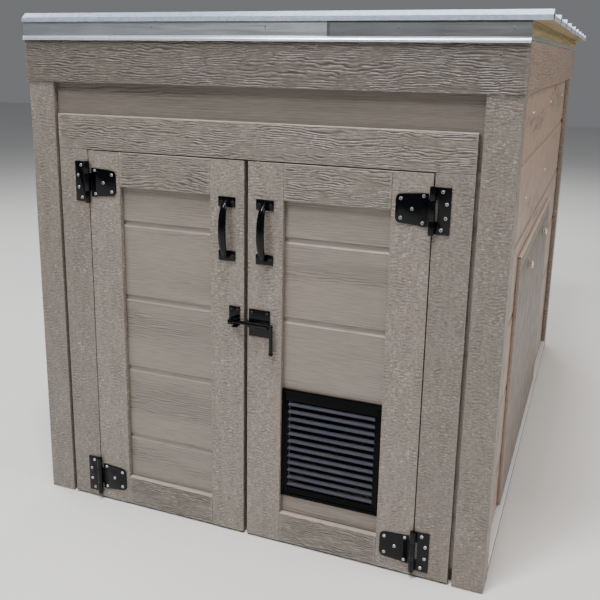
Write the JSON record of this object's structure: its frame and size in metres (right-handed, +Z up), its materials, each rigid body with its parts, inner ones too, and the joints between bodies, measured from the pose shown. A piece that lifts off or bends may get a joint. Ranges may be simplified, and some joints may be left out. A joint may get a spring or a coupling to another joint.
{
  "type": "home standby generator",
  "caption": "Walk-up timber enclosure with double doors, louvre, side cover and ribbed metal roof, housing an engine-driven standby generator set on a pad.",
  "frame": {"origin": "underside of the centre runner, in the middle of the enclosure's footprint", "axes": "+Z up, -Y out through the doors, +X to the right of someone facing the doors"},
  "size_m": [1.309, 1.9453, 1.353],
  "materials": {
    "painted_siding": "satin taupe paint over embossed grain",
    "painted_trim": "satin taupe paint over embossed grain",
    "raw_timber": "bare pressure-treated pine",
    "plywood": "bare plywood",
    "roof_steel": "pale coated sheet",
    "flashing": "galvanised, satin",
    "black_hardware": "satin black powder coat",
    "engine_alloy": "as cast",
    "turned_steel": "machined",
    "exhaust_steel": "heat-dulled",
    "cabinet_paint": "fine texture grey",
    "black_plastic": "moulded, fine grain",
    "composite_pad": "moulded composite"
  },
  "bodies": {
    "enclosure": {"runner_left": "painted_trim", "runner_centre": "raw_timber", "runner_right": "painted_trim", "floor_deck": "plywood", "front_post_left": "raw_timber", "front_post_right": "raw_timber", "rear_post_left": "raw_timber", "rear_post_right": "raw_timber", "front_siding": "painted_siding", "rear_siding": "painted_siding", "left_siding": "painted_siding", "right_siding": "painted_siding", "corner_board_front_left": "painted_trim", "corner_board_front_right": "painted_trim", "corner_board_rear_left": "painted_trim", "corner_board_rear_right": "painted_trim", "frieze_front": "painted_trim", "frieze_rear": "painted_trim", "frieze_left": "painted_trim", "frieze_right": "painted_trim", "header_board": "painted_trim", "casing_left": "painted_trim", "casing_right": "painted_trim", "top_frame": "raw_timber", "roof_deck": "plywood", "roof_sheet": "roof_steel", "drip_edge": "flashing", "hinge_leaf_upper_left": "black_hardware", "hinge_leaf_lower_left": "black_hardware", "hinge_leaf_upper_right": "black_hardware", "hinge_leaf_lower_right": "black_hardware", "generator_pad": "composite_pad", "engine_block": "engine_alloy", "blower_housing": "black_plastic", "alternator": "engine_alloy", "muffler": "exhaust_steel", "exhaust_pipe": "exhaust_steel", "exhaust_outlet": "exhaust_steel", "air_cleaner": "black_plastic", "control_box": "cabinet_paint", "battery": "black_plastic"},
    "left_door": {"left_door_frame": "painted_trim", "left_door_panel": "painted_siding", "hinge_strap_upper_left": "black_hardware", "hinge_strap_lower_left": "black_hardware", "left_pull_handle": "black_hardware", "latch_keeper": "black_hardware"},
    "right_door": {"right_door_frame": "painted_trim", "right_door_panel": "painted_siding", "hinge_strap_upper_right": "black_hardware", "hinge_strap_lower_right": "black_hardware", "right_pull_handle": "black_hardware", "latch_plate": "black_hardware", "vent_louvre": "black_hardware"},
    "bolt_slider": {"bolt_collar": "black_hardware"},
    "bolt": {"latch_bolt": "black_hardware"},
    "side_cover": {"access_panel": "painted_siding"},
    "crankshaft": {"crank_and_rotor": "turned_steel"},
    "start_switch": {"start_switch": "black_plastic"},
    "breaker_lever": {"breaker_lever": "black_plastic"}
  },
  "joints": [
    {"name": "right_door_swing", "type": "hinge", "parent": "enclosure", "child": "right_door", "pos_m": [0.455, -0.9476, 0.5], "axis": [0, 0, 1], "range_deg": [0, 110]},
    {"name": "left_door_swing", "type": "hinge", "parent": "enclosure", "child": "left_door", "pos_m": [-0.455, -0.9476, 0.5], "axis": [0, 0, -1], "range_deg": [0, 110]},
    {"name": "bolt_slide", "type": "slide", "parent": "right_door", "child": "bolt_slider", "axis": [1, 0, 0], "range_m": [0, 0.037]},
    {"name": "bolt_turn", "type": "hinge", "parent": "bolt_slider", "child": "bolt", "pos_m": [0.02, -0.9513, 0.602], "axis": [-1, 0, 0], "range_deg": [0, 100]},
    {"name": "side_cover_lift", "type": "slide", "parent": "enclosure", "child": "side_cover", "axis": [1, 0, 0], "range_m": [0, 0.2]},
    {"name": "crank_spin", "type": "hinge", "parent": "enclosure", "child": "crankshaft", "pos_m": [0, -0.1, 0.262], "axis": [1, 0, 0], "continuous": true},
    {"name": "start_switch_rock", "type": "hinge", "parent": "enclosure", "child": "start_switch", "pos_m": [0.124, -0.364, 0.54], "axis": [-1, 0, 0], "range_deg": [0, 14]},
    {"name": "breaker_throw", "type": "hinge", "parent": "enclosure", "child": "breaker_lever", "pos_m": [0.276, -0.358, 0.54], "axis": [1, 0, 0], "range_deg": [0, 40]}
  ],
  "couplings": [
    {"joint": "left_door_swing", "follows": "right_door_swing", "ratio": 1}
  ]
}
